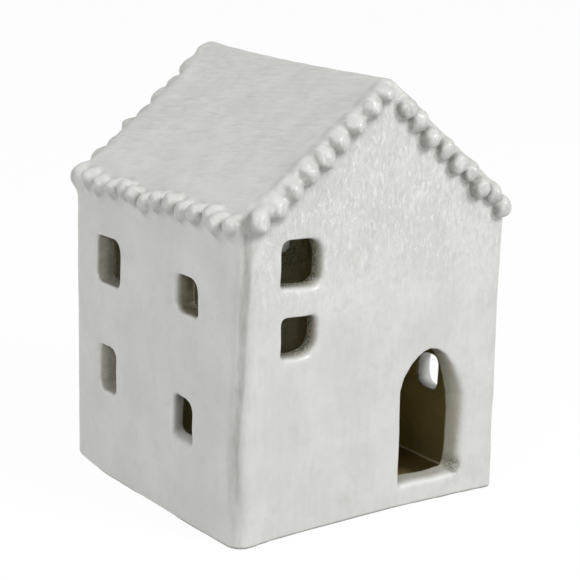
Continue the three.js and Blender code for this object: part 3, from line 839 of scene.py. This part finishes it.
def glaze(name, rim, crease):
    """Off-white satin glaze, brushed on, thin in the reveals and gone inside the house, with painted shade in hollows,
    creases, the seam, the reveals and on the beads, painted highlights on arrises, and painted light low on the roof
    and inside the house.
    """
    material, start = new_material(name)
    place = start.add("ShaderNodeTexCoord", None, None, "Object")
    facing = start.add("ShaderNodeNewGeometry", None, None, "Normal")
    depth, bulge, hollow, bead_shade, seam = (
        start.add("ShaderNodeAttribute", {"attribute_name": each}, None, "Fac")
        for each in ("glaze_depth", "bulge", "hollow", "bead_shade", "seam")
    )
    height, upward = place.part("Z"), facing.part("Z")
    level = upward.step(0.3, 0.6)
    gable = facing.part("Y")
    gable = gable.math("ABSOLUTE", gable).step(0.5, 0.85)
    side = place.part("X")
    side = side.math("ABSOLUTE", side).step(0.0465, 0.0475)
    even = place.stretch((1, 1, 1))
    broad = even.noise(0.05, 3.0, 0.55)
    fine = even.noise(0.42, 3.0, 0.6)
    speckle = even.noise(1.3, 2.0, 0.6)
    strokes, share, dabs = brushed(start, place, level, gable)
    dabbed = height.step(0.055, 0.115) * gable

    # White glaze where it lies thick
    colour = start.mix(broad.step(0.3, 0.7), GLAZE_DULL, GLAZE_CLEAN)
    colour = start.mix(even.noise(0.16, 3.0, 0.6).step(0.5, 0.8) * 0.6, colour, GLAZE_CLOUD)
    colour = start.mix(fine.step(0.5, 0.8) * 0.3, colour, GLAZE_FLECK)
    colour = start.mix(strokes.step(0.48, 0.7) * share * 0.6, colour, STROKE_DARK)
    colour = start.mix(strokes.step(0.46, 0.3) * share * 0.5, colour, STROKE_PALE)
    colour = start.mix(dabs.step(0.54, 0.66) * dabbed * 0.9, colour, DAB_PALE)
    colour = start.mix(dabs.step(0.47, 0.34) * dabbed * 0.6, colour, DAB_DARK)
    # painted light: the roof paler low down towards the eave
    colour = start.mix(level * height.step(0.128, 0.106) * 0.55, colour, LOW_ROOF_LIGHT)
    # painted highlight along crisp arrises
    colour = start.mix(bulge.step(0.4, 0.65) * rim, colour, PAINTED_RIM_HIGHLIGHT)

    # Painted shade along the corner seam, in hollows and creases, and on the beads' side away from the light
    # the seam's groove is partly a dark joint and partly painted shade; the band beside it is painted shade
    colour = start.mix(seam * strokes.step(0.3, 0.7, 0.5, 0.95), colour, SEAM_GREY)
    # painted shade in hollows, by how closed in each place is
    colour = start.mix(hollow.step(0.12, 0.95) * 0.6, colour, OCCLUSION_SHADE_GREY)
    # painted shade, speckled, in the creases between beads
    crease_shade = bulge.step(-0.2, -0.7) * speckle.step(0.35, 0.65, 0.3, 1.0)
    colour = start.mix(crease_shade * crease, colour, CREASE_SHADE_GREY)
    # painted shade on the beads' side turned away from the light
    colour = start.mix(bead_shade * speckle.step(0.3, 0.6, 0.75, 1.0), colour, BEAD_SHADE_GREY)

    # Reveals: thinner glaze inwards, darkened with painted shade deeper in; gritty in the front windows and smooth in
    # the side ones
    edge = depth + (speckle - 0.5) * side.step(0.0, 1.0, 1.6, 0.6) + (broad - 0.5) * 1.5
    thin = edge.step(-0.4, -3.6) * (1 - upward.step(0.3, 0.8) * 0.3)
    colour = start.mix(thin * side.step(0, 1, 0.8, 0.9), colour, THIN_GLAZE_AND_SHADE)
    grit = even.noise(1.4, 3.0, 0.7).step(0.42, 0.56) * edge.step(-2.6, -5.0)
    grit = grit * height.step(0.056, 0.064, 0.15, 0.95)
    # the side windows' fade is partly stain and partly painted shade
    fade = edge.step(-0.8, -3.8) * even.noise(0.3, 3.0, 0.6).step(0.35, 0.65, 0.7, 0.9)
    stain = start.add("ShaderNodeMix", {"data_type": "FLOAT"}, {0: side, 2: grit, 3: fade})
    colour = start.mix(stain, colour, REVEAL_STAIN_AND_SHADE)
    # painted contact shadow along the foot
    colour = start.mix(height.step(0.0012, 0.0004) * 0.7, colour, FOOT_SHADOW)

    # Grit in the door's lower right corner
    nook = place.part("X").step(0.0365, 0.0395) * height.step(0.0160, 0.0105) * edge.step(0.3, -1.2)
    colour = start.mix(nook * speckle.step(0.35, 0.6, 0.35, 0.95), colour, NOOK_GRIT)

    # Satin skin with the marks of the brush
    rough = 0.3 + fine * 0.12
    relief = fine * 0.5 + strokes * share * 0.5 + speckle * 0.2 + dabs * dabbed * 1.2
    marks = bump(start, relief, 0.35, 0.25)
    sockets = {"Base Color": colour, "Roughness": rough, "Normal": marks, "Coat Weight": 0.25, "Coat Roughness": 0.12}
    skin = start.add("ShaderNodeBsdfPrincipled", None, sockets)

    # Bare clay inside, with slip along the foot of the walls, painted shade near the front and painted light higher up
    slip = upward.step(0.25, 0.45) * upward.step(0.95, 0.8) * height.step(0.0070, 0.0050)
    ground = upward.step(0.6, 0.85) * height.step(0.009, 0.007)
    along = place.part("Y")
    # painted shade inside, near the front
    front = along.step(-0.012, -0.044)
    # painted light on the back wall from mid height and on all walls high up, less on the right wall
    upper_light = along.step(0.040, 0.045) * height.step(0.020, 0.035)
    upper_light = upper_light.math("MAXIMUM", upper_light, height.step(0.045, 0.065))
    upper_light = upper_light * place.part("X").step(0.043, 0.040, 0.35, 1.0)
    pale, dark = (
        start.mix(ground, start.mix(upper_light, start.mix(front, inner, FRONT_INNER_SHADE), light_tone), floor)
        for inner, light_tone, floor in ((INNER_PALE, UPPER_LIGHT_PALE, FLOOR_PALE), (INNER_DARK, UPPER_LIGHT_DARK, FLOOR_DARK))
    )
    clay = clay_shader(start, place, pale, dark, slip)
    start.add("ShaderNodeOutputMaterial", None, {
        "Surface": start.add("ShaderNodeMixShader", None, {0: edge.step(-6.2, -7.6), 1: skin, 2: clay})
    })
    return material


def bare_clay(name):
    material, start = new_material(name)
    place = start.add("ShaderNodeTexCoord", None, None, "Object")
    start.add("ShaderNodeOutputMaterial", None, {"Surface": clay_shader(start, place, FLOOR_PALE, FLOOR_DARK, 0.0)})
    return material


# Finish of each piece

BEAD_ROWS = {
    "front_left_verge_beads": [
        "front_left_corner_bead", "front_apex_bead", *(f"front_left_verge_bead_{n}" for n in range(1, 8)),
    ],
    "front_right_verge_beads": [
        "front_right_corner_bead", *(f"front_right_verge_bead_{n}" for n in range(1, 9)),
    ],
    "back_left_verge_beads": ["back_left_corner_bead", "back_apex_bead", "back_left_verge_beads"],
    "back_right_verge_beads": ["back_right_corner_bead", "back_right_verge_beads"],
    "left_eave_beads": [f"left_eave_bead_{n}" for n in range(1, 14)],
    "right_eave_beads": ["right_eave_beads"],
}
# Windows whose reveals differ: their middle along and up the wall, how fast their glaze thins inwards,
# and how much thinner it is from the arris on; these also set how much painted shade their reveals get
REVEALS = {
    "left_wall": ((31.4, 80.0, 0.1, 2.5), (-20.0, 79.0, 1.2, 0), (30.6, 40.0, 0.06, 1.95), (-20.5, 35.5, 0.3, 0)),
    "right_wall": ((-23.6, 37.5, 0.33, 0),),
}
REVEAL_REACH = (11, 12)  # half a window with its arris, along and up the wall
REVEAL_GLAZED = 0.7  # the glaze of such a reveal ends this far short of the room
REVEAL_DEEPEST = -5.6
# Sides of each row's beads that get painted shade, turned away from the light
LEFT_ROW_SHADE_SIDE = np.array((-0.8, 0.1, -0.59), np.float32)
RIGHT_ROW_SHADE_SIDE = np.array((-0.8, 0.58, -0.14), np.float32)
EAVE_ROW_SHADE_SIDE = np.array((0.0, -0.8, -0.6), np.float32)
SKIN_REACH = 0.8  # how far round a point the skin's direction is taken


def painted_bead_shade(name, co, outward, ball):
    """How much painted shade lies on the beads, from 0 to 1: a little all over, and more on the side turned away from
    the light.
    """
    if name not in BEAD_ROWS:
        return np.zeros(len(co), np.float32)
    if name.endswith("eave_beads"):
        bead_shade = 0.18 + 0.2 * ramp(outward @ EAVE_ROW_SHADE_SIDE, 0.2, 0.9)
    elif "right" in name:
        bead_shade = 0.14 + 0.8 * ramp(outward @ RIGHT_ROW_SHADE_SIDE, 0.0, 0.6)
    else:
        corner = 1 - 0.5 * ramp(-co[:, 0], 46, 48)
        bead_shade = 0.07 + 0.5 * ramp(outward @ LEFT_ROW_SHADE_SIDE, 0.05, 0.5) * corner
    return bead_shade * (1 - ramp(sample(ball, co), 0.1, 0.5))


def glaze_depth(name, co, outer):
    """How deep each place lies under the house's outer face, as far as its glaze goes by it."""
    depth = sample(outer, co)
    for along, up, gain, thinner in REVEALS.get(name, ()):
        near = (np.abs(co[:, 1] - along) < REVEAL_REACH[0]) & (np.abs(co[:, 2] - up) < REVEAL_REACH[1])
        thinned = gain * depth - thinner * ramp(-depth, 0.3, 1.6)
        depth = np.where(near & (depth > REVEAL_GLAZED - WALL), np.maximum(thinned, REVEAL_DEEPEST), depth)
    return depth


def seam_shade(co, depth, seam):
    """How dark the corner seam is painted: its groove, partly a dark joint and partly painted shade, and a softer band
    of painted shade beside it that is stronger low down.
    """
    away = sample(seam, co)
    groove = 0.62 * (1 - ramp(away, -0.1, 1.0))
    band = 0.3 * (1 - ramp(away, 0, 4.5)) * (1.7 - 0.7 * ramp(co[:, 2], 20, 50))
    return (groove + band) * ramp(depth, -4, -2)


def finish(name, mesh, fields):
    """Gives a cut piece what its glaze and its painted shade follow, and its smooth skin."""
    skin, outer, ball, seam, bulge = fields
    co = np.empty(len(mesh.vertices) * 3, np.float32)
    mesh.vertices.foreach_get("co", co)
    co = co.reshape(-1, 3) / MM
    outward = slope_of(skin, co, SKIN_REACH)
    depth = glaze_depth(name, co, outer)
    marks = {
        "bead_shade": painted_bead_shade(name, co, outward, ball), "glaze_depth": depth, "bulge": sample(bulge, co),
        "hollow": hollowness(skin, co, outward), "seam": seam_shade(co, depth, seam),
    }
    for attribute, values in marks.items():
        mesh.attributes.new(attribute, "FLOAT", "POINT").data.foreach_set("value", values)
    mesh.shade_smooth()
    smooth_skin(mesh, outward)


# Building

# rim sets how much painted highlight the arrises get, crease how much painted shade the creases get
wall_glaze = glaze("white_glaze", rim=0.6, crease=0.0)
bead_glaze = glaze("bead_glaze", rim=0.0, crease=0.3)
clay = bare_clay("bare_clay")

skin, outer, ball, seam = glazed_house(bead_glaze)
block = openvdb.FloatGrid(BAND)
block.copyFromArray(np.clip(skin, -BAND, BAND))
points, quads = block.convertToQuads(0.0)
points = points * VOXEL + np.array(LOW, np.float32)
house = mesh_object("glazed_house", points * MM, quads.tolist())
fields = (skin, outer, ball, seam, curvature(np.clip(skin, -BAND, BAND)))

blocks = cells()
for name, keep in blocks.items():
    remove = [blocks[row] for row in BEAD_ROWS] if name.endswith("_wall") else []
    mesh = carve(house, keep, *remove)
    finish(name, mesh, fields)
    piece_name = name + "_glazed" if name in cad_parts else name
    mesh.name = piece_name
    mesh.materials.clear()
    piece = bpy.data.objects.new(piece_name, mesh)
    bpy.context.scene.collection.objects.link(piece)
    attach(piece, "root")
    if name in BEAD_ROWS:
        mesh.materials.append(bead_glaze)
        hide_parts(*BEAD_ROWS[name])
    elif name == "floor_slab":
        mesh.materials.append(clay)
        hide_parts(name)
    else:
        mesh.materials.append(wall_glaze)
        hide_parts(name)
for used in list(blocks.values()) + [house]:
    bpy.data.objects.remove(used)

# Stage and camera

PAPER_GREY = (0.45, 0.45, 0.45, 1)  # as the paper lights the house
PAPER_WHITE = 1.1  # as it is seen
PAPER_SHARE = 0.86  # the rest of what is seen keeps the house's shadow
UNDER_HOUSE = (0.026, 0.030)  # the paper is grey inside this reach, under the light hole
SKY_LIGHT = 0.47
WHITE = (1, 1, 1, 1)
LIGHTS_AIM = (0, 0, 0.07)
PICTURE = 580  # pixels across
FOCAL_LENGTH = 1616.83  # in pixels
SENSOR = 36.0
CAMERA_TURNS = (-36.408, 14.376, -1.607)  # turn, tilt and roll in degrees
CAMERA_OFFSET = (-3.9485, -67.093, -603.68)  # the middle of the house's foot in the camera's frame, in millimetres


def stage_floor():
    material, start = new_material("white_floor")
    path = {way: start.add("ShaderNodeLightPath", None, None, way) for way in
            ("Is Camera Ray", "Is Glossy Ray", "Is Transmission Ray")}
    seen = path["Is Camera Ray"].math("MAXIMUM", path["Is Camera Ray"], path["Is Glossy Ray"])
    seen = seen.math("MAXIMUM", seen, path["Is Transmission Ray"])
    matt = start.add("ShaderNodeBsdfDiffuse", None, {"Color": PAPER_GREY})
    white = start.add("ShaderNodeEmission", None, {"Strength": PAPER_WHITE})
    place = start.add("ShaderNodeTexCoord", None, None, "Object")
    reach = start.add("ShaderNodeVectorMath", {"operation": "LENGTH"}, {0: place}, "Value")
    open_floor = reach.step(*UNDER_HOUSE)
    paper = start.add("ShaderNodeMixShader", None, {0: seen * open_floor * PAPER_SHARE, 1: matt, 2: white})
    start.add("ShaderNodeOutputMaterial", None, {"Surface": paper})
    floor = mesh_object("floor", [(-4, -4, 0), (4, -4, 0), (4, 4, 0), (-4, 4, 0)], [(0, 1, 2, 3)])
    floor.data.materials.append(material)


def area_light(name, place, size, watts):
    lamp = bpy.data.lights.new(name, "AREA")
    lamp.shape, lamp.size, lamp.energy = "DISK", size, watts
    lit = bpy.data.objects.new(name, lamp)
    lit.location = place
    lit.rotation_euler = (Vector(LIGHTS_AIM) - Vector(place)).to_track_quat("-Z", "Y").to_euler()
    bpy.context.scene.collection.objects.link(lit)


def sky():
    world = bpy.data.worlds.new("studio")
    world.use_nodes = True
    world.node_tree.nodes.clear()
    start = Wire(world.node_tree)
    seen = start.add("ShaderNodeLightPath", None, None, "Is Camera Ray")
    soft = start.add("ShaderNodeBackground", None, {"Color": WHITE, "Strength": SKY_LIGHT})
    white = start.add("ShaderNodeBackground", None, {"Color": WHITE, "Strength": 1.0})
    both = start.add("ShaderNodeMixShader", None, {0: seen, 1: soft, 2: white})
    start.add("ShaderNodeOutputWorld", None, {"Surface": both})
    bpy.context.scene.world = world


def photograph():
    """The camera that saw the house."""
    turn, tilt, roll = (math.radians(angle) for angle in CAMERA_TURNS)
    back = Vector((math.sin(turn) * math.cos(tilt), -math.cos(turn) * math.cos(tilt), math.sin(tilt)))
    right = Vector((0, 0, 1)).cross(back).normalized()
    rows = Matrix((right, back.cross(right), back))
    rows = Matrix.Rotation(roll, 3, "Z") @ rows
    offset = Vector(CAMERA_OFFSET) * MM
    lens = bpy.data.cameras.new("camera")
    lens.sensor_width = SENSOR
    lens.lens = SENSOR * FOCAL_LENGTH / PICTURE
    lens.clip_start, lens.clip_end = 0.01, 50
    camera = bpy.data.objects.new("camera", lens)
    camera.matrix_world = Matrix.Translation(-(rows.transposed() @ offset)) @ rows.transposed().to_4x4()
    bpy.context.scene.collection.objects.link(camera)
    bpy.context.scene.camera = camera


stage_floor()
area_light("key", (0.42, -1.15, 0.98), 0.6, 10.2)
area_light("fill", (-1.3, -0.75, 0.75), 1.0, 7.4)
sky()
photograph()
bpy.context.scene.view_settings.view_transform = "Standard"
